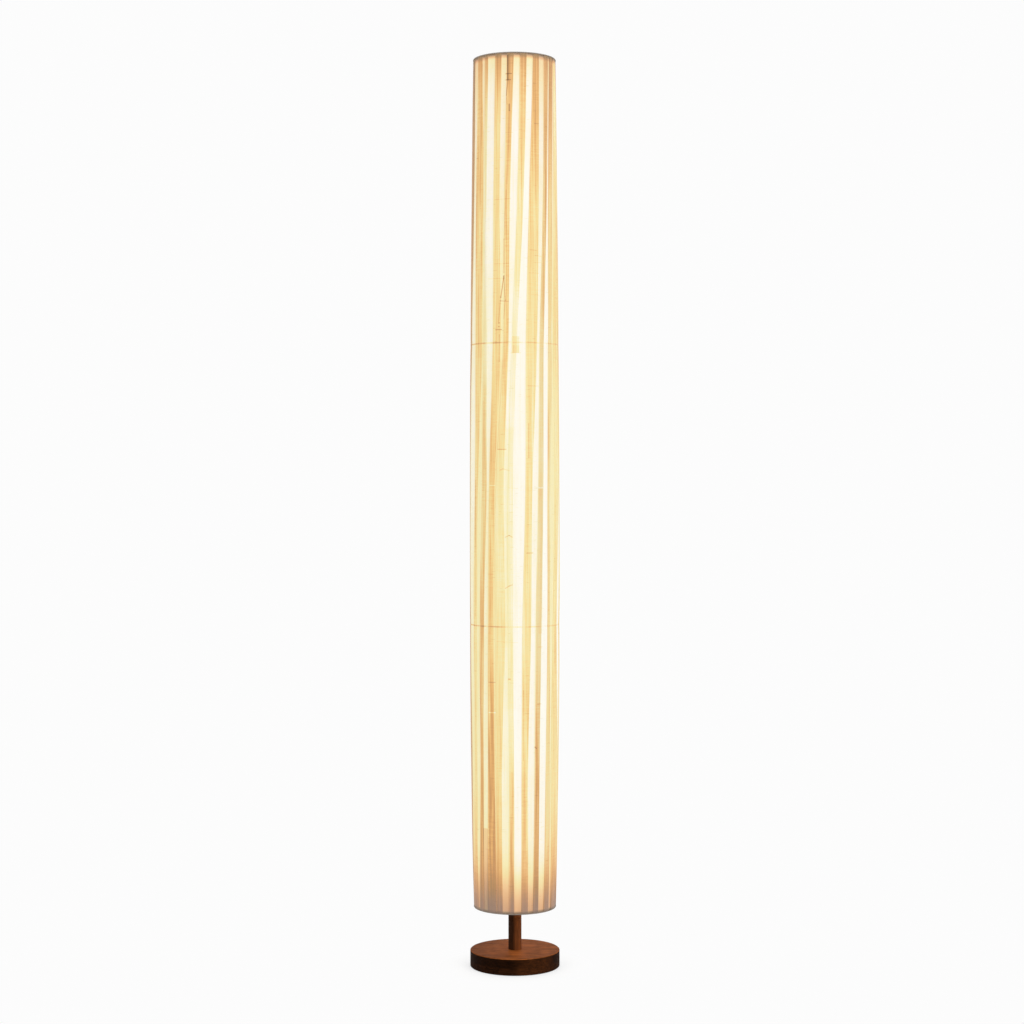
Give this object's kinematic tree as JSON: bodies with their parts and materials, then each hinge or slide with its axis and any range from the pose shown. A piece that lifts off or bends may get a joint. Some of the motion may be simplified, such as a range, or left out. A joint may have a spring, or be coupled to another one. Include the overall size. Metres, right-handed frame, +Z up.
{
  "type": "paper lantern floor lamp",
  "caption": "Slender floor lamp with a tall barrel-shaped pleated fabric sleeve over a light column, on a short turned wooden stem and a round wooden base.",
  "frame": {"origin": "centre of the round base at the floor", "axes": "+Z up along the lamp's axis, -Y to the front, +Y to the rear where the cord inlet is"},
  "size_m": [0.15, 0.15, 1.516],
  "materials": {
    "walnut_base": "satin oiled",
    "walnut_stem": "satin oiled",
    "pad": "matt",
    "iron": "raw",
    "zinc": "zinc plated",
    "brass": "satin",
    "black_plastic": "matt",
    "white_plastic": "matt",
    "aluminium": "natural anodised",
    "led_board": "solder mask",
    "led_chip": "phosphor",
    "opal": "opal",
    "wire": "insulated",
    "sleeve": "pleated slub fabric, lit from inside",
    "hem_tape": "woven tape",
    "ring_wire": "cream lacquer"
  },
  "bodies": {
    "stand": {"base_pad": "pad", "base_disc": "walnut_base", "ballast_plate": "iron", "ballast_screws": "zinc", "base_washer": "zinc", "base_nut": "zinc", "tie_tube": "brass", "cord_grommet": "black_plastic", "terminal_block": "white_plastic", "block_screw": "zinc", "stem": "walnut_stem", "stem_collar": "brass", "column_foot": "aluminium", "core_1": "aluminium", "core_2": "aluminium", "core_3": "aluminium", "led_boards_1": "led_board", "led_boards_2": "led_board", "led_boards_3": "led_board", "led_chips_1": "led_chip", "led_chips_2": "led_chip", "led_chips_3": "led_chip", "diffuser_1": "opal", "diffuser_2": "opal", "diffuser_3": "opal", "joint_collar_1": "aluminium", "joint_collar_2": "aluminium", "column_cap": "aluminium", "top_stud": "brass", "inner_leads": "wire"},
    "shade": {"shade_fabric": "sleeve", "top_hem": "hem_tape", "bottom_hem": "hem_tape", "top_ring": "ring_wire", "upper_ring": "ring_wire", "lower_ring": "ring_wire", "bottom_ring": "ring_wire", "top_spider": "ring_wire", "bottom_spider": "ring_wire", "finial_washer": "pad"},
    "finial": {"finial": "brass"}
  },
  "joints": [
    {"name": "shade_lift", "type": "slide", "parent": "stand", "child": "shade", "axis": [0, 0, 1], "range_m": [0, 1.42]},
    {"name": "finial_turn", "type": "hinge", "parent": "shade", "child": "finial", "pos_m": [0, 0, 1.4995], "axis": [0, 0, 1], "continuous": true}
  ]
}
